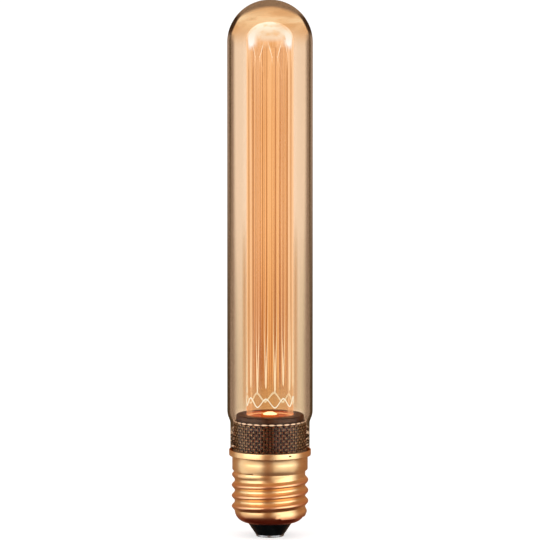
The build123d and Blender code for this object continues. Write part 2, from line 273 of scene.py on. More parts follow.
# Glass envelope: a blown tube with a drawn-in neck
glass = {
    "radius": 14.65, "wall": 0.8, "neckRadius": 13.6, "neckBottom": 28.5, "lip": 0.2,
    "shoulderBottom": 38.9, "shoulderAngle": 24.6, "shoulderHollow": 4.3, "domeCentre": 170.35,
    "segments": 160, "flareSteps": 10, "swellSteps": 12, "domeSteps": 36, "sliver": 0.001,
    "sharpAngle": 60,
    "tints": {
        "top": (0.90, 0.75, 0.605, 1), "low": (0.785, 0.65, 0.495, 1),
        "dome": (0.84, 0.605, 0.39, 1), "lobe": (0.98, 0.82, 0.62, 1),
        "grey": (0.80, 0.69, 0.53, 1), "warm": (0.73, 0.51, 0.32, 1),
        "foot": (0.92, 0.80, 0.68, 1), "neckClear": (0.93, 0.81, 0.71, 1),
        "neckDark": (0.06, 0.035, 0.025, 1), "neckLight": (0.90, 0.74, 0.60, 1),
        "band": (0.52, 0.41, 0.32, 1), "domeBand": (0.50, 0.38, 0.28, 1),
        "edge": (0.24, 0.18, 0.12, 1), "edgeTop": (0.56, 0.46, 0.38, 1),
        "shoulderEdge": (0.17, 0.11, 0.07, 1), "thinLine": (0.30, 0.22, 0.14, 1),
    },
    "upward": (45, 150), "topTint": (38, 105), "domeTint": (168.5, 176), "domeFrom": (171, 174),
    "crown": (178, 183), "footTint": (40.6, 43), "neckTint": (37.0, 38.6), "neckTo": (36.5, 39.5),
    "aboveCap": (30.2, 31.2), "domeEdge": (174, 179), "shoulder": (176.3, 4.8),
    "streaks": (0.16, 0.004), "streakShare": 0.8, "streakSpread": (0.42, 0.6), "streakTo": (60, 120),
    # these streaks and the lobe place the painted reflection on the dome
    "reflectionStreaks": (0.09, 0.3, 3), "reflectionStreakSpread": (0.32, 0.52), "lobe": (178.2, 3.6),
    "warmLine": (0.205, 0.055), "warmFrom": (43, 47), "warmTo": (84, 116), "warmShare": 0.85,
    "wobble": (0.12, 0.02), "wobbleReach": 0.04, "weave": (0.14, 1.5), "weaveSpread": (0.47, 0.52),
    "bandFrom": 0.30, "bandTo": 0.54, "bandShift": 0.10, "bandNarrow": 0.10, "bandDome": 0.16,
    "bandCrown": 0.20, "neckEdge": (0.50, 0.62), "edgeSpan": (0.61, 0.70), "edgeNeck": 0.7,
    "shoulderWide": 0.07, "shoulderDark": 1.6, "thinLine": (0.64, 0.09),
    "gloss": {"colour": (1, 1, 1, 1), "roughness": 0.04, "ior": 1.35, "share": 0.5, "limit": 0.04},
    "innerGloss": {"colour": (1, 0.93, 0.85, 1), "roughness": 0.06, "ior": 1.2, "share": 0.3,
                   "limit": 0.02},
}


def glassHalf(inset):
    convexRadius = (glass["radius"] - glass["neckRadius"]) / (
        1 - math.cos(math.radians(glass["shoulderAngle"]))) - glass["shoulderHollow"]
    bendAngle = 180 - glass["shoulderAngle"]
    hollow = (glass["neckRadius"] + glass["shoulderHollow"], glass["shoulderBottom"])
    flare = arc(hollow, glass["shoulderHollow"] + inset, 180, bendAngle, glass["flareSteps"])
    reach = glass["shoulderHollow"] + convexRadius
    bend = math.radians(bendAngle)
    swell = (hollow[0] + reach * math.cos(bend), hollow[1] + reach * math.sin(bend))
    crown = arc(swell, convexRadius - inset, -glass["shoulderAngle"], 0, glass["swellSteps"])
    dome = arc((0, glass["domeCentre"]), glass["radius"] - inset, 0, 90, glass["domeSteps"])
    return flare + crown[1:] + dome


def makeGlassMaterials():
    finish = newFinish("goldGlass")
    z, facing = finish.axis("Z"), finish.facing()
    tints = {name: finish.transparent(colour) for name, colour in glass["tints"].items()}
    upward, aboveCap = z.rise(*glass["upward"]), z.rise(*glass["aboveCap"])
    inDome, crown = z.rise(*glass["domeFrom"]), z.rise(*glass["crown"])
    inNeck, shoulder = z.fall(*glass["neckTo"]), z.line(*glass["shoulder"])
    clear = finish.mixShader(z.rise(*glass["topTint"]), tints["low"], tints["top"])
    streaks = finish.stretched(*glass["streaks"]).rise(*glass["streakSpread"])
    streaks = streaks * z.fall(*glass["streakTo"]) * glass["streakShare"]
    clear = finish.mixShader(streaks, clear, tints["grey"])
    clear = finish.mixShader(z.rise(*glass["domeTint"]), clear, tints["dome"])
    # painted reflection: a lighter lobe, broken into streaks, high on the dome
    reflectionStreaks = finish.stretched(*glass["reflectionStreaks"]).rise(*glass["reflectionStreakSpread"])
    clear = finish.mixShader(z.line(*glass["lobe"]) * reflectionStreaks, clear, tints["lobe"])
    clear = finish.mixShader(z.rise(*glass["footTint"]), tints["foot"], clear)
    clear = finish.mixShader(z.rise(*glass["neckTint"]), tints["neckClear"], clear)
    warmth = facing.line(*glass["warmLine"]) * z.fall(*glass["warmTo"]) * z.rise(*glass["warmFrom"])
    clear = finish.mixShader(warmth * glass["warmShare"], clear, tints["warm"])  # the guide's light
    grazing = facing + (finish.stretched(*glass["wobble"]) - 0.5) * glass["wobbleReach"]
    banded = finish.mixShader(inDome, tints["band"], tints["domeBand"])
    band = grazing - upward * glass["bandShift"] - inDome * glass["bandDome"] + crown * glass["bandCrown"]
    band = band.rise(glass["bandFrom"], glass["bandTo"] - upward * glass["bandNarrow"])
    seen = finish.mixShader(band * aboveCap, clear, banded)
    weave = finish.stretched(*glass["weave"]).rise(*glass["weaveSpread"])
    neck = finish.mixShader(weave, tints["neckDark"], tints["neckLight"])
    seen = finish.mixShader(grazing.rise(*glass["neckEdge"]) * inNeck * aboveCap, seen, neck)
    edge = finish.mixShader(upward, tints["edge"], tints["edgeTop"])
    edge = finish.mixShader(z.rise(*glass["domeEdge"]), edge, tints["domeBand"])
    edge = finish.mixShader((shoulder * glass["shoulderDark"]).least(1), edge, tints["shoulderEdge"])
    atEdge = (grazing + shoulder * glass["shoulderWide"]).rise(*glass["edgeSpan"])
    seen = finish.mixShader(atEdge * aboveCap * (1 - inNeck * glass["edgeNeck"]), seen, edge)
    thin = facing.line(*glass["thinLine"]) * upward * (1 - inDome)
    seen = finish.mixShader(thin, seen, tints["thinLine"])
    outer = finish.glazed(seen, glass["gloss"])

    finish = newFinish("glassInside")
    inner = finish.glazed(finish.transparent((1, 1, 1, 1)), glass["innerGloss"])
    return [outer, inner]


def makeGlass():
    bm = bmesh.new()
    wall, lip, bottom, neck = glass["wall"], glass["lip"], glass["neckBottom"], glass["neckRadius"]
    outside = [(neck - lip, bottom), (neck, bottom + lip)]
    inside = [(neck - wall + lip, bottom), (neck - wall, bottom + lip)]
    chain = outside + glassHalf(0) + (inside + glassHalf(wall))[::-1]
    turn(bm, outline(bm, chain), glass["segments"])
    mergeClose(bm)
    bmesh.ops.dissolve_degenerate(bm, edges=bm.edges, dist=glass["sliver"])
    bmesh.ops.recalc_face_normals(bm, faces=bm.faces)
    for face in bm.faces:
        middle = face.calc_center_median()
        away = Vector((middle.x, middle.y, max(middle.z - glass["domeCentre"], 0)))
        face.material_index = 0 if face.normal.dot(away) > 0 else 1
    finishPiece(bm, "glassEnvelope", makeGlassMaterials(), ["glass_envelope"],
                glass["sharpAngle"])


makeGlass()

# Light guide: a bored acrylic rod that carries the light up to its domed end
guide = {
    "radius": 8.0, "bore": 6.4, "bottom": 41.0, "shoulder": 171.4, "top": 177.4,
    "boreTop": 170.4, "boreCone": 1.2, "segments": 128, "domeSteps": 20, "sharpAngle": 40,
    "boreMargin": 0.1, "endMargin": 0.01,
    "base": (0.02, 0.015, 0.01, 1), "specular": 0.12, "skinRough": 0.08, "boreRough": 0.1,
    "glow": glow(226, 157, 94), "glowLight": glow(250, 188, 128), "glowDark": glow(184, 114, 58),
    "low": glow(202, 118, 58), "lowDark": glow(140, 70, 30), "lowLight": glow(252, 178, 110),
    "side": glow(226, 162, 98), "cream": glow(252, 200, 150), "brown": glow(166, 94, 0),
    "cap": glow(255, 238, 216), "capDark": glow(250, 214, 174), "white": glow(255, 255, 252),
    "foot": glow(242, 138, 82), "footLight": glow(252, 174, 118),
    "clear": (1.0, 0.97, 0.92, 1), "footTint": (0.96, 0.81, 0.62, 1),
    "streaks": (0.9, 0.006, 3), "streakSpread": (0.35, 0.65), "lowSpread": (0.35, 0.6),
    "lowTo": (56, 96), "lowShare": 0.5,
    "brownLines": ((0.32, 0.055, 1), (0.57, 0.07, 0.7), (0.21, 0.025, 0.5)),
    "brownFrom": (56, 84), "brownTo": (160, 168), "brownCover": 0.9,
    "gleamLine": (0.42, 0.09), "gleamEdge": (0.66, 0.8), "gleamShare": 0.2, "gleamLow": 0.75,
    "gleamFrom": (41, 44), "gleamSpread": (0.36, 0.56), "gleamCover": 0.7, "footTo": (42.5, 49),
    "swirl": (0.3, 0.4, 4), "swirlSpread": (0.38, 0.52), "capFrom": (170.8, 173.2),
    "spotHeight": (172.0, 4.6), "spotLine": (0.44, 0.34), "spotSpread": (0.30, 0.42),
    "spotBright": 1.8, "coverEdge": (0.20, 0.5), "coverLow": 0.35, "coverMore": 0.55,
    "coverFrom": (46, 62), "coverEnd": (168.8, 170.8), "coverEndShare": 0.85, "coverLimit": 0.97,
    "clearFrom": (50, 60),
    "broad": (0.55, 0.002), "fine": (3.2, 0.004), "broadShare": 0.25, "highFrom": (62, 120),
    "lightSpread": (0.50, 0.57), "darkSpread": (0.42, 0.50), "creamFrom": (140, 169),
    "creamShare": 0.22, "boreFootTo": (42, 47), "boreFrom": (47.5, 60), "boreCover": 0.82,
    "boreLeast": 0.06,
}


def makeGuideSkin():
    finish = newFinish("guideSkin")
    z, facing = finish.axis("Z"), finish.facing()
    streak = finish.stretched(*guide["streaks"])
    low = z.fall(*guide["lowTo"])
    shade = finish.mix(streak.rise(*guide["streakSpread"]), guide["side"], guide["cream"])
    shade = finish.mix(low * guide["lowShare"] * streak.fall(*guide["lowSpread"]), shade, guide["low"])
    brown = 0
    for middle, reach, share in guide["brownLines"]:
        brown = (facing.line(middle, reach) * share).most(brown)
    brown = brown * z.fall(*guide["brownTo"]) * z.rise(*guide["brownFrom"])
    shade = finish.mix(brown, shade, guide["brown"])
    # painted highlight: cream streaks on the wall's sides, low down and at the edge
    gleam = facing.line(*guide["gleamLine"]).most(facing.rise(*guide["gleamEdge"]))
    gleam = gleam * (low * guide["gleamLow"] + guide["gleamShare"]) * z.rise(*guide["gleamFrom"])
    gleam = gleam * streak.rise(*guide["gleamSpread"])
    shade = finish.mix(gleam, shade, guide["cream"])
    shade = finish.mix(z.fall(*guide["footTo"]), shade, guide["footLight"])
    swirl = finish.stretched(*guide["swirl"])
    dome = finish.mix(swirl.rise(*guide["swirlSpread"]), guide["capDark"], guide["cap"])
    shade = finish.mix(z.rise(*guide["capFrom"]), shade, dome)
    # painted highlight: white spots round the top of the bore
    spots = z.line(*guide["spotHeight"]) * facing.line(*guide["spotLine"])
    spots = (spots * swirl.rise(*guide["spotSpread"]) * guide["spotBright"]).least(1)
    shade = finish.mix(spots, shade, guide["white"])
    cover = facing.rise(*guide["coverEdge"]) * (
        guide["coverLow"] + guide["coverMore"] * z.rise(*guide["coverFrom"]))
    cover = cover.most(z.rise(*guide["coverEnd"]) * guide["coverEndShare"])
    cover = cover.most(brown * guide["brownCover"]).most(spots).most(gleam * guide["gleamCover"])
    lit = finish.surface(
        Base_Color=guide["base"], Roughness=guide["skinRough"], Specular_IOR_Level=guide["specular"],
        Emission_Color=shade, Emission_Strength=glowStrength)
    clear = finish.mixShader(z.rise(*guide["clearFrom"]), finish.transparent(guide["footTint"]),
                             finish.transparent(guide["clear"]))
    return finish.done(finish.mixShader(cover.least(guide["coverLimit"]), clear, lit))


def makeGuideBore():
    finish = newFinish("guideBore")
    z = finish.axis("Z")
    broad, fine = finish.stretched(*guide["broad"]), finish.stretched(*guide["fine"])
    flow = broad * guide["broadShare"] + fine * (1 - guide["broadShare"])
    high = z.rise(*guide["highFrom"])
    body = finish.mix(high, guide["low"], guide["glow"])
    light = finish.mix(high, guide["lowLight"], guide["glowLight"])
    dark = finish.mix(high, guide["lowDark"], guide["glowDark"])
    body = finish.mix(flow.rise(*guide["lightSpread"]), body, light)
    body = finish.mix(flow.fall(*guide["darkSpread"]), body, dark)
    body = finish.mix(z.rise(*guide["creamFrom"]) * guide["creamShare"], body, guide["cream"])
    body = finish.mix(z.fall(*guide["boreFootTo"]), body, guide["foot"])
    return finish.done(finish.surface(
        Base_Color=guide["base"], Roughness=guide["boreRough"], Specular_IOR_Level=guide["specular"],
        Alpha=z.rise(*guide["boreFrom"]) * guide["boreCover"] + guide["boreLeast"],
        Emission_Color=body, Emission_Strength=glowStrength))


def makeGuide():
    bm = bmesh.new()
    radius, bore, cone, boreTop = guide["radius"], guide["bore"], guide["boreCone"], guide["boreTop"]
    lift = guide["top"] - guide["shoulder"]
    dome = [(radius * aside, guide["shoulder"] + lift * up)
            for aside, up in arc((0, 0), 1, 0, 90, guide["domeSteps"])]
    hole = [(0, boreTop), (bore - cone, boreTop), (bore, boreTop - cone), (bore, guide["bottom"])]
    turn(bm, outline(bm, [(radius, guide["bottom"])] + dome + hole), guide["segments"])
    mergeClose(bm)
    bmesh.ops.recalc_face_normals(bm, faces=bm.faces)
    lowest, highest = guide["bottom"] + guide["endMargin"], boreTop + guide["endMargin"]
    for face in bm.faces:
        middle = face.calc_center_median()
        inBore = flatAcross(middle) < bore + guide["boreMargin"] and lowest < middle.z < highest
        face.material_index = 1 if inBore else 0
    finishPiece(bm, "lightGuide", [makeGuideSkin(), makeGuideBore()],
                ["light_guide"], guide["sharpAngle"])


makeGuide()

# Light lines cut just inside the guide's wall: a zigzag round the foot, and long narrow Vs above it
lines = {
    "radius": 7.93, "sides": 6, "waves": 8, "waveFrom": 12.3, "waveLow": 45.4, "waveHigh": 48.5,
    "waveThick": 0.24, "waveBack": 1.8, "waveSteps": 30, "waveRound": 0.75, "peakSoft": 0.999,
    "footThick": 0.22, "footLift": 0.5, "footSteps": 120,
    "vTips": (50.4, 51.8), "vTops": (171.2, 166.5), "vCuts": 44, "vSides": 4, "crowding": 1.6,
    "vOpen": 4.0, "openBy": 0.16, "openCurve": 0.9, "vCross": 13.0, "crossFrom": 0.93,
    "crossCurve": 1.5, "vThick": 0.10, "tipThick": 0.27, "tipReach": 0.22, "tipCurve": 1.5,
    "pointLeast": 0.3, "pointReach": 0.012, "uneven": 1.1, "unevenReach": 40.0, "seed": 5,
    "colour": glow(255, 248, 226), "soft": glow(255, 222, 180), "dim": glow(250, 186, 128),
    "foot": glow(255, 186, 128), "base": (0.05, 0.04, 0.03, 1), "roughness": 0.3,
    "brightTo": (54, 92), "brightFrom": (161, 170), "softFrom": (49, 53), "softTo": (164, 170),
    "footTo": (42.5, 44), "sparkle": (0.8, 3), "sparkleLeast": 0.7, "sparkleMore": 0.6,
    "coverLeast": 0.4,
}


def makeLineMaterial():
    finish = newFinish("lightLines")
    z = finish.axis("Z")
    bright = z.fall(*lines["brightTo"]).most(z.rise(*lines["brightFrom"]))
    sparkle = finish.grain(*lines["sparkle"]) * lines["sparkleMore"] + lines["sparkleLeast"]
    light = finish.mix(z.rise(*lines["softFrom"]) * z.fall(*lines["softTo"]), lines["colour"],
                       lines["soft"])
    light = finish.mix(z.rise(*lines["footTo"]), lines["foot"], light)
    cover = lines["coverLeast"] + (1 - lines["coverLeast"]) * (bright * sparkle).least(1)
    return finish.done(finish.surface(
        Base_Color=lines["base"], Roughness=lines["roughness"], Alpha=cover,
        Emission_Color=finish.mix(bright, lines["dim"], light), Emission_Strength=glowStrength))


def waveRing(start):  # the zigzag as a bmesh of its own
    middle = (lines["waveLow"] + lines["waveHigh"]) / 2
    swing = (lines["waveHigh"] - lines["waveLow"]) / 2
    wave = ring(lines["radius"], 0, lines["waveThick"], lines["sides"],
                lines["waves"] * lines["waveSteps"])
    for vert in wave.verts:
        if vert.co.y > 0:  # the far half is seen through the guide, so it is cut wider
            vert.co.z *= 1 + (lines["waveBack"] - 1) * min(vert.co.y / lines["radius"], 1)
        phase = math.cos(lines["waves"] * (heading(vert) - start))
        straight = math.asin(phase * lines["peakSoft"]) * 2 / math.pi
        shape = lines["waveRound"] * phase + (1 - lines["waveRound"]) * straight
        vert.co.z += middle - swing * shape
    return wave


def vArm(side, tip, length):  # one arm of a V as a bmesh of its own
    arm = bar(1, lines["vSides"], length, lines["vCuts"])
    for vert in arm.verts:
        share = min(max(vert.co.z / length, 0), 1) ** lines["crowding"]  # more cuts near the tip
        opening = lines["vOpen"] * min(share / lines["openBy"], 1) ** lines["openCurve"]
        crossing = max(share - lines["crossFrom"], 0) / (1 - lines["crossFrom"])
        opening += lines["vCross"] * crossing ** lines["crossCurve"]
        swell = max(1 - share / lines["tipReach"], 0) ** lines["tipCurve"]
        thick = lines["vThick"] + (lines["tipThick"] - lines["vThick"]) * swell
        thick *= min(lines["pointLeast"] + share / lines["pointReach"], 1)  # it comes to a point
        turned = math.radians(side * opening)
        reach, aside = lines["radius"] + vert.co.x * thick, vert.co.y * thick
        vert.co = (reach * math.cos(turned) - aside * math.sin(turned),
                   reach * math.sin(turned) + aside * math.cos(turned), tip + length * share)
    return arm


def makeLines():
    chance = random.Random(lines["seed"])
    start = math.radians(lines["waveFrom"] - 90)
    step = 2 * math.pi / lines["waves"]
    whole = bmesh.new()
    absorb(whole, waveRing(start))
    absorb(whole, ring(guide["radius"], guide["bottom"] + lines["footLift"], lines["footThick"],
                       lines["sides"], lines["footSteps"]))
    for kind, (tip, top) in enumerate(zip(lines["vTips"], lines["vTops"])):
        pair = bmesh.new()
        for side in (-1, 1):
            absorb(pair, vArm(side, tip, top - tip))
        spot = start + step / 2 * kind
        turnTo(pair, spot)
        turn(pair, everything(pair), lines["waves"], copies=True)
        lifts = [chance.uniform(-1, 1) * lines["uneven"] for copy in range(lines["waves"])]
        for vert in pair.verts:  # each V ends at a height of its own
            number = round((heading(vert) - spot) / step) % lines["waves"]
            vert.co.z += lifts[number] * max(1 - (vert.co.z - tip) / lines["unevenReach"], 0)
        absorb(whole, pair)
    finishPiece(whole, "guideLines", [makeLineMaterial()])


makeLines()

# Woven wire sleeve round the guide's holder, and the pinched wire of its rim
wire = {
    "hollow": 0.05, "outer": 0.3, "grain": (1.6, 3), "sheenEdge": (0.08, 0.34),
    "rubbedSpread": (0.36, 0.56), "sheenCover": 0.45, "rougher": 0.2, "sheenDull": 0.6,
    "bump": (0.2, 0.03),
}
sleeve = {
    "middle": 12.25, "weave": 0.18, "weft": 0.27, "flatten": 0.78, "warp": 0.16, "warpWeave": 0.6,
    "bottom": 30.45, "top": 39.3, "rings": 10, "waves": 36, "steps": 360, "sides": 6,
    # the dark colour is painted shade for the hollows, the sheen colour painted light for the wires'
    # edges
    "light": paint(160, 98, 72), "dark": paint(46, 20, 16), "paintedSheen": paint(255, 232, 190),
    "roughness": 0.2, "metallic": 1.0, "lit": 0.0,
}
rim = {
    "radius": 12.3, "height": 40.0, "wire": 0.27, "pinch": 0.9, "pinchWidth": 0.2, "dashes": 29,
    "steps": 464, "sides": 8,
    # the pale colours are painted light from the near light source
    "light": paint(255, 244, 228), "dark": paint(246, 212, 188), "paintedSheen": paint(255, 244, 228),
    "roughness": 0.35, "metallic": 0.0, "lit": 0.45,  # painted glow: the rim glows as if lit by the near light source
}


def makeWireMaterial(name, look):  # painted shade darkens the hollows, the outside is rubbed bright, and painted sheen lightens the wires' edges
    finish = newFinish(name)
    # painted shade: dark in the hollows near the middle radius; painted light and rubbed wear outside
    outsideLitAndRubbed = finish.across().rise(sleeve["middle"] + wire["hollow"], sleeve["middle"] + wire["outer"])
    fine = finish.grain(*wire["grain"])
    # painted sheen: the colour lightens where the wires turn away from view
    paintedSheen = finish.facing().rise(*wire["sheenEdge"])
    light = finish.mix(paintedSheen, look["light"], look["paintedSheen"])
    bright = (outsideLitAndRubbed * fine.rise(*wire["rubbedSpread"])).most(paintedSheen * wire["sheenCover"])
    colour = finish.mix(bright, look["dark"], light)
    return finish.done(finish.surface(
        Base_Color=colour, Roughness=look["roughness"] + wire["rougher"] * fine,
        Metallic=look["metallic"] * (1 - paintedSheen * wire["sheenDull"]),
        Emission_Color=colour, Emission_Strength=look["lit"],
        Normal=finish.bump(fine, *wire["bump"])))


def makeSleeve():
    whole = bmesh.new()
    middle, bottom, weave = sleeve["middle"], sleeve["bottom"], sleeve["weave"]
    pitch = (sleeve["top"] - bottom) / (sleeve["rings"] - 1)
    for row in range(sleeve["rings"]):
        weft = ring(middle, bottom + row * pitch, sleeve["weft"], sleeve["sides"], sleeve["steps"])
        for vert in weft.verts:
            moveOut(vert, (middle - flatAcross(vert.co)) * sleeve["flatten"])  # rolled flat
            moveOut(vert, weave * math.cos(sleeve["waves"] * heading(vert) + row * math.pi))
        absorb(whole, weft)
    warp = bar(sleeve["warp"], sleeve["sides"], sleeve["top"] - bottom, sleeve["rings"] * 2 - 1)
    bmesh.ops.translate(warp, verts=warp.verts, vec=(middle, 0, bottom))
    uprights = sleeve["waves"] * 2
    turn(warp, everything(warp), uprights, copies=True)
    for vert in warp.verts:
        row = (vert.co.z - bottom) / pitch
        upright = round(heading(vert) / (2 * math.pi) * uprights)
        moveOut(vert, -weave * sleeve["warpWeave"] * math.cos((upright + row) * math.pi))
    absorb(whole, warp)
    finishPiece(whole, "wovenSleeve", [makeWireMaterial("bronzeWire", sleeve)],
                ["mesh_sleeve"])


def makeRim():
    edge = ring(rim["radius"], 0, rim["wire"], rim["sides"], rim["steps"])
    for vert in edge.verts:
        dashShare = (heading(vert) * rim["dashes"] / (2 * math.pi)) % 1 - 0.5
        shrink = 1 - rim["pinch"] * math.exp(-(dashShare / rim["pinchWidth"]) ** 2)
        hoop = outward(vert.co) * rim["radius"]
        vert.co = hoop + (vert.co - hoop) * shrink
        vert.co.z += rim["height"]
    finishPiece(edge, "sleeveRim", [makeWireMaterial("rimBronzePaintedLit", rim)],
                ["sleeve_rim_wire"])


makeSleeve()
makeRim()

# Screw cap: thin brass with a rolled thread
cap = {
    "wall": 0.35, "bottom": 4.9, "opening": 7.9, "root": 12.12, "step": 22.5, "skirtFrom": 23.3,
    "skirtMiddle": 26, "skirt": 12.95, "flange": 14.05, "flangeFrom": 28.05, "flangeTo": 30.1,
    "flangeRound": 0.3, "bevel": 0.15, "lip": 0.08, "cornerSteps": 20, "flangeSteps": 6,
    "segments": 180, "firstSegment": -62.6, "fineStep": 0.13, "coarseStep": 0.25,
    "slotFrom": 29.1, "slotTo": 29.6, "slotHalf": 2, "margin": 0.05, "nearly": 0.001,
    "sharpAngle": 50,
    "light": paint(250, 212, 158), "dark": paint(243, 194, 136), "copper": paint(236, 162, 122),
    # foot is painted shade: the darker, redder colour of the rounded bottom corner
    "foot": paint(184, 98, 70), "cloud": (0.08, 0.12, 3), "cloudSpread": (0.3, 0.7),
    "fine": (1.2, 9.0, 3), "crest": (12.5, 13.1), "crestFrom": (7, 8), "crestTo": (22, 23),
    "crestShare": 0.6, "footTo": (6.4, 9.4), "roughness": 0.23, "cloudRough": 0.1,
    "fineRough": 0.05, "bump": (0.08, 0.02),
}
thread = {
    "pitch": 3.629, "depth": 1.03, "width": 3.629, "firstCrest": 8.6, "windings": range(-1, 5),
    "start": -90, "fullFrom": 90, "fullTo": 1230, "end": 1390, "sink": 0.06,
}


def threadRadius(angle, height, wallRadius):
    best = wallRadius
    for whole in thread["windings"]:
        wound = angle + 360 * whole
        if not thread["start"] <= wound <= thread["end"]:
            continue
        off = height - thread["firstCrest"] - thread["pitch"] * wound / 360
        if abs(off) > thread["width"] / 2:
            continue
        growing = (wound - thread["start"]) / (thread["fullFrom"] - thread["start"])
        fading = (thread["end"] - wound) / (thread["end"] - thread["fullTo"])
        share = max(min(growing, fading, 1), 0)
        tall = thread["sink"] + thread["depth"] * share ** 2 * (3 - 2 * share)  # a smooth run-out
        wave = (1 + math.cos(2 * math.pi * off / thread["width"])) / 2
        best = max(best, wallRadius - thread["sink"] + tall * wave)
    return best


def capHalf(inset, zStep):
    corner = cap["root"] - cap["opening"]
    low, high = cap["bottom"] + corner, cap["step"]
    curve = arc((cap["opening"], low), corner - inset, -90, 0, cap["cornerSteps"])
    count = round((high - low) / zStep)
    wall = [(cap["root"] - inset, low + (high - low) * n / count) for n in range(1, count + 1)]
    skirt, under, edge = cap["skirt"] - inset, cap["flangeFrom"] + inset, cap["flange"] - inset
    top = [(skirt, cap["skirtFrom"]), (skirt, cap["skirtMiddle"]), (skirt, under - cap["bevel"]),
           (skirt + cap["bevel"], under)]
    flange = arc((edge - cap["flangeRound"], under + cap["flangeRound"]), cap["flangeRound"],
                 -90, 0, cap["flangeSteps"])
    rise = [(edge, height) for height in
            (cap["slotFrom"], cap["slotTo"], cap["flangeTo"] - cap["lip"])]
    return curve + wall + top + flange + rise


def makeBrass():
    finish = newFinish("rolledBrass")
    z = finish.axis("Z")
    cloud, fine = finish.stretched(*cap["cloud"]), finish.stretched(*cap["fine"])
    colour = finish.mix(cloud.rise(*cap["cloudSpread"]), cap["dark"], cap["light"])
    crest = finish.across().rise(*cap["crest"]) * z.rise(*cap["crestFrom"]) * z.fall(*cap["crestTo"])
    colour = finish.mix(crest * cap["crestShare"], colour, cap["copper"])
    # painted shade: the rounded bottom corner is painted darker and redder
    colour = finish.mix(z.fall(*cap["footTo"]), colour, cap["foot"])
    return finish.done(finish.surface(
        Base_Color=colour, Metallic=1.0, Normal=finish.bump(fine, *cap["bump"]),
        Roughness=cap["roughness"] + cap["cloudRough"] * cloud + cap["fineRough"] * fine))


def rollThread(bm):
    corner = cap["root"] - cap["opening"]
    for vert in bm.verts:
        across = flatAcross(vert.co)
        if vert.co.z > cap["skirtFrom"] - cap["margin"] or across < cap["opening"] + cap["margin"]:
            continue
        depth = corner - math.hypot(across - cap["opening"], min(vert.co.z - cap["bottom"] - corner, 0))
        wallRadius = cap["root"] - (cap["wall"] if depth > cap["wall"] / 2 else 0)
        wanted = threadRadius(math.degrees(heading(vert)) % 360, vert.co.z, wallRadius)
        if wanted > wallRadius + cap["nearly"] or across >= wallRadius - cap["nearly"]:
            moveOut(vert, max(wanted - across, 0))


def cutSlot(bm):  # a small slot through the flange's edge
    slotMiddle = cap["firstSegment"] + cap["slotHalf"]
    slotFaces = []
    for face in bm.faces:
        middle = face.calc_center_median()
        angle = math.degrees(math.atan2(middle.y, middle.x))
        if cap["slotFrom"] < middle.z < cap["slotTo"] and abs(angle - slotMiddle) < cap["slotHalf"]:
            slotFaces.append(face)
    bmesh.ops.delete(bm, geom=slotFaces, context="FACES")
    bmesh.ops.bridge_loops(bm, edges=[e for e in bm.edges if e.is_boundary])


def makeCap():
    bm = bmesh.new()
    outside, inside = capHalf(0, cap["fineStep"]), capHalf(cap["wall"], cap["coarseStep"])
    lip = [(cap["flange"] - cap["lip"], cap["flangeTo"]),
           (cap["flange"] - cap["wall"] + cap["lip"], cap["flangeTo"])]
    turn(bm, outline(bm, outside + lip + inside[::-1]), cap["segments"])
    mergeClose(bm)
    turnTo(bm, math.radians(cap["firstSegment"]))
    rollThread(bm)
    cutSlot(bm)
    finishPiece(bm, "screwCap", [makeBrass()], ["cap_shell"], cap["sharpAngle"])


makeCap()

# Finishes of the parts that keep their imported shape
mottle = {"cloudDetail": 4, "finer": 6, "fineDetail": 3, "spread": (0.3, 0.7), "bump": (0.15, 0.05)}
kept = {  # node: material, light and dark colour, clouds per mm, roughness from and to, metallic
    "heat_sink": ("turnedAluminium", paint(205, 205, 208), paint(160, 160, 165), 0.8, (0.25, 0.4), 1),
    # painted light: the board and the light source's base are painted bright orange, as lit by it
    "led_board": ("boardGlow", paint(255, 170, 104), paint(250, 146, 82), 0.4, (0.35, 0.5), 0),
    "led_base": ("ledCeramicPaintedLit", paint(255, 186, 122), paint(250, 160, 98), 0.8, (0.4, 0.55), 0),
    "neck_cement": ("cement", paint(176, 160, 140), paint(140, 122, 104), 1.2, (0.7, 0.9), 0),
    "centre_contact": ("contactMetal", paint(176, 176, 178), paint(128, 128, 132), 0.8,
                       (0.25, 0.45), 1),
    "driver_board": ("greenBoard", paint(40, 98, 62), paint(26, 74, 46), 0.5, (0.35, 0.5), 0),
    "electrolytic_capacitor": ("capacitorSleeve", paint(44, 46, 58), paint(28, 30, 40), 0.5,
                               (0.3, 0.4), 0),
    "film_capacitor": ("filmCase", paint(176, 70, 44), paint(142, 48, 30), 0.6, (0.25, 0.4), 0),
    "fusible_resistor": ("resistorBody", paint(110, 150, 150), paint(82, 120, 122), 0.7,
                         (0.35, 0.5), 0),
    "chip_resistors": ("chipResistor", paint(52, 52, 54), paint(36, 36, 38), 1.0, (0.35, 0.5), 0),
    "bridge_rectifier": ("chipBlack", paint(48, 48, 50), paint(32, 32, 34), 1.0, (0.4, 0.55), 0),
    "driver_chip": ("chipBlackMatt", paint(48, 48, 50), paint(32, 32, 34), 1.4, (0.45, 0.6), 0),
    "inductor_core": ("ferrite", paint(66, 62, 62), paint(46, 43, 43), 1.2, (0.5, 0.7), 0),
    "led_wire_positive": ("redInsulation", paint(176, 44, 36), paint(146, 30, 26), 0.9,
                          (0.35, 0.45), 0),
    "led_wire_negative": ("blackInsulation", paint(44, 42, 42), paint(28, 27, 27), 0.9,
                          (0.35, 0.45), 0),
    "shell_wire": ("tinnedWire", paint(200, 198, 194), paint(164, 162, 158), 1.5, (0.25, 0.4), 1),
    "contact_wire": ("tinnedWireEnd", paint(200, 198, 194), paint(164, 162, 158), 1.5,
                     (0.25, 0.4), 1),
}
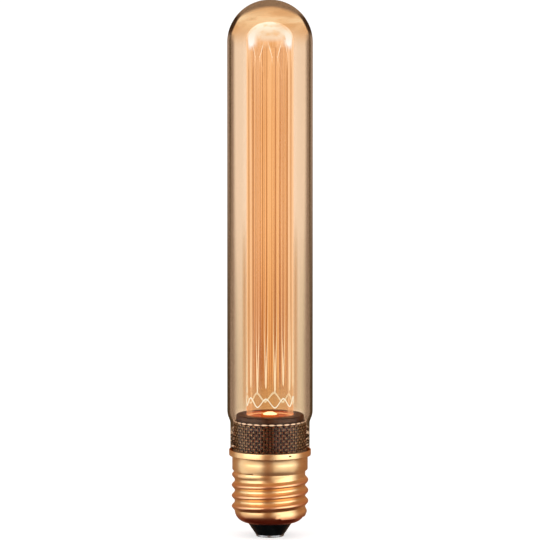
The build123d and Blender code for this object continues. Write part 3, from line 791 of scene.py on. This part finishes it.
holder = {
    "light": paint(90, 58, 44), "dark": paint(62, 38, 30), "below": paint(30, 14, 12),
    # dish and dishGlow are painted light, the orange pool and glow the light source casts on the holder
    "topFrom": (40.2, 41.2), "dish": paint(232, 124, 70), "dishGlow": paint(224, 110, 52),
    "dishTo": (7.6, 8.4), "dishStrength": 1.0, "cloud": (0.5, 4), "fine": (3, 3),
    "roughness": 0.25, "rougher": 0.2, "bump": (0.15, 0.05),
}
insulator = {
    "light": paint(16, 20, 21), "dark": paint(6, 9, 10), "cloud": (0.5, 4), "fine": (5, 2),
    "roughness": 0.28, "rougher": 0.12, "specular": 0.06, "bump": (0.06, 0.02),
}
phosphor = {
    "base": paint(250, 214, 120), "roughness": 0.5, "strength": 2.3, "cloud": (1.2, 3),
    "core": paint(255, 246, 226), "coreLight": paint(255, 253, 246), "rim": paint(190, 144, 96),
    "coreFrom": (41.9, 42.2),
}
winding = {
    "light": paint(214, 124, 66), "dark": paint(150, 72, 34), "turnsPerMm": 18, "roughness": 0.3,
    "metallic": 0.9, "bump": (0.5, 0.1),
}


def dress(node, material):
    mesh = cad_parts[node].data
    mesh.materials.clear()
    mesh.materials.append(material)


def makeMottled(name, light, dark, perMm, roughness, metallic):
    finish = newFinish(name)
    cloud = finish.grain(perMm, mottle["cloudDetail"])
    fine = finish.grain(perMm * mottle["finer"], mottle["fineDetail"])
    return finish.done(finish.surface(
        Base_Color=finish.mix(cloud.rise(*mottle["spread"]), dark, light),
        Roughness=roughness[0] + (roughness[1] - roughness[0]) * fine,
        Metallic=metallic, Normal=finish.bump(fine, *mottle["bump"])))


def makeHolderBrown():
    finish = newFinish("brownPlastic")
    cloud, fine = finish.grain(*holder["cloud"]), finish.grain(*holder["fine"])
    top = finish.mix(cloud.rise(*mottle["spread"]), holder["dark"], holder["light"])
    outside = finish.mix(finish.axis("Z").rise(*holder["topFrom"]), holder["below"], top)
    dish = finish.across().fall(*holder["dishTo"])  # painted light: near the axis the holder is painted orange and glows, as if lit by the light source
    return finish.done(finish.surface(
        Base_Color=finish.mix(dish, outside, holder["dish"]),
        Emission_Color=finish.mix(dish, (0, 0, 0, 1), holder["dishGlow"]),
        Emission_Strength=holder["dishStrength"], Normal=finish.bump(fine, *holder["bump"]),
        Roughness=holder["roughness"] + holder["rougher"] * fine))


def makeInsulatorBlack():
    finish = newFinish("insulatorBlack")
    cloud, fine = finish.grain(*insulator["cloud"]), finish.grain(*insulator["fine"])
    return finish.done(finish.surface(
        Base_Color=finish.mix(cloud.rise(*mottle["spread"]), insulator["dark"], insulator["light"]),
        Roughness=insulator["roughness"] + insulator["rougher"] * cloud,
        Specular_IOR_Level=insulator["specular"], Normal=finish.bump(fine, *insulator["bump"])))


def makePhosphor():
    finish = newFinish("phosphorGlow")
    core = finish.mix(finish.grain(*phosphor["cloud"]), phosphor["core"], phosphor["coreLight"])
    shade = finish.mix(finish.axis("Z").rise(*phosphor["coreFrom"]), phosphor["rim"], core)
    return finish.done(finish.surface(
        Base_Color=phosphor["base"], Roughness=phosphor["roughness"], Emission_Color=shade,
        Emission_Strength=phosphor["strength"]))


def makeWinding():
    finish = newFinish("copperWinding")
    turns = (finish.axis("Y") * winding["turnsPerMm"]).sine()
    return finish.done(finish.surface(
        Base_Color=finish.mix(turns * 0.5 + 0.5, winding["dark"], winding["light"]),
        Roughness=winding["roughness"], Metallic=winding["metallic"],
        Normal=finish.bump(turns, *winding["bump"])))


for node, look in kept.items():
    dress(node, makeMottled(*look))
dress("guide_holder", makeHolderBrown())
dress("cap_insulator", makeInsulatorBlack())
dress("led_phosphor", makePhosphor())
dress("inductor_winding", makeWinding())
print("kept parts dressed")

# Studio: pale floor, white surround, two soft side lamps and warm cards that only reflections see
studio = {
    "floorSize": 12.0, "floorCells": 8, "floor": paint(236, 236, 236), "floorDark": (0.8, 0.8, 0.8, 1),
    "floorCloud": 3.0, "floorMottle": 0.1, "floorRough": 0.8, "floorLift": 0.55,
    "white": (1, 1, 1, 1), "surround": 0.60,
    "lampTurn": 50, "lampAway": 0.7, "lampHeight": 0.24, "lampSize": (0.72, 0.72), "lampPower": 2.5,
    "cardAway": 0.8, "cardReach": 0.62, "cardTip": 0.1, "cardHole": 0.02, "cardSteps": 48,
    "cardCloud": 4.0, "cardMottle": 0.3, "cardDark": (0.02, 0.02, 0.02, 1), "cardRough": 0.9,
    "frontCard": (-25, 11), "backCard": (92, 250),
    "dim": paint(192, 130, 82), "back": paint(214, 160, 118), "top": paint(214, 164, 120),
    "low": paint(116, 58, 38),
    "cameraUp": 7.5, "cameraAway": 4.0, "lens": 779.2, "sensor": 36.0, "farthest": 50.0,
    "aim": (0.0, 0.0, 92.0),
}


def makeFloor():
    bm = bmesh.new()
    bmesh.ops.create_grid(bm, x_segments=studio["floorCells"], y_segments=studio["floorCells"],
                          size=studio["floorSize"] / 2)
    mesh = meshFrom(bm, "studioFloor")
    floor = addObject("studioFloor", mesh)
    finish = newFinish("paleFloor")
    cloud = finish.noise(finish.place(), studio["floorCloud"]) * studio["floorMottle"]
    plain = finish.surface(Roughness=studio["floorRough"],
                           Base_Color=finish.mix(cloud, studio["floor"], studio["floorDark"]))
    lift = finish.node("ShaderNodeEmission", inputs={
        "Color": studio["white"], "Strength": finish.seenDirectly() * studio["floorLift"]})
    mesh.materials.append(finish.done(finish.node("ShaderNodeAddShader", inputs={0: plain, 1: lift})))
    floor.visible_glossy = False  # reflections look past it, at the white surround


def makeWorld():
    world = bpy.data.worlds.new("whiteStudio")
    scene.world = world
    finish = Finish(world, "ShaderNodeOutputWorld")
    strength = studio["surround"] + (1 - studio["surround"]) * finish.seenDirectly()
    finish.done(finish.node("ShaderNodeBackground", inputs={
        "Color": studio["white"], "Strength": strength}))


def makeLamp(name, turnDegrees):
    data = bpy.data.lights.new(name, "AREA")
    data.shape, data.energy = "RECTANGLE", studio["lampPower"]
    data.size, data.size_y = studio["lampSize"]
    lamp = addObject(name, data)
    around, away, height = math.radians(turnDegrees - 90), studio["lampAway"], studio["lampHeight"]
    lamp.location = (away * math.cos(around), away * math.sin(around), height)
    target = Vector((0, 0, height))
    lamp.rotation_euler = (target - lamp.location).to_track_quat("-Z", "Y").to_euler()


def makeCard(name, fromDegrees, toDegrees, low, high, shade):  # curved, (radius, height) low and high
    bm = bmesh.new()
    turned = Matrix.Rotation(math.radians(fromDegrees - 90), 3, "Z")
    ends = [bm.verts.new(turned @ Vector((radius, 0, height))) for radius, height in (low, high)]
    edge = bm.edges.new(ends)
    bmesh.ops.spin(bm, geom=ends + [edge], cent=(0, 0, 0), axis=(0, 0, 1),
                   angle=math.radians(toDegrees - fromDegrees), steps=studio["cardSteps"])
    mesh = meshFrom(bm, name)
    card = addObject(name, mesh)
    finish = newFinish(name + "Paint")
    cloud = finish.noise(finish.place(), studio["cardCloud"]) * studio["cardMottle"]
    mesh.materials.append(finish.done(finish.surface(
        Roughness=studio["cardRough"], Base_Color=finish.mix(cloud, shade, studio["cardDark"]))))
    card.visible_camera = card.visible_diffuse = card.visible_transmission = card.visible_shadow = False


def makeCards():
    away, reach, hole = studio["cardAway"], studio["cardReach"], studio["cardHole"]
    tip = reach + studio["cardTip"]
    makeCard("cardFront", *studio["frontCard"], (away, -reach), (away, reach), studio["dim"])
    makeCard("cardBack", *studio["backCard"], (away, -reach), (away, reach), studio["back"])
    makeCard("cardTop", 0, 360, (away, reach), (hole, tip), studio["top"])
    makeCard("cardLow", 0, 360, (hole, -tip), (away, -reach), studio["low"])


def makeCamera():
    data = bpy.data.cameras.new("camera")
    data.lens, data.sensor_width, data.clip_end = studio["lens"], studio["sensor"], studio["farthest"]
    camera = addObject("camera", data)
    up = math.radians(studio["cameraUp"])
    back = Vector((0, -math.cos(up), math.sin(up))) * studio["cameraAway"]
    camera.location = Vector(studio["aim"]) * mm + back
    camera.rotation_euler = (math.pi / 2 - up, 0, 0)
    scene.camera = camera


makeFloor()
makeWorld()
makeLamp("softboxLeft", -studio["lampTurn"])
makeLamp("softboxRight", studio["lampTurn"])
makeCards()
makeCamera()
scene.view_settings.view_transform = "Standard"
print("studio ready")
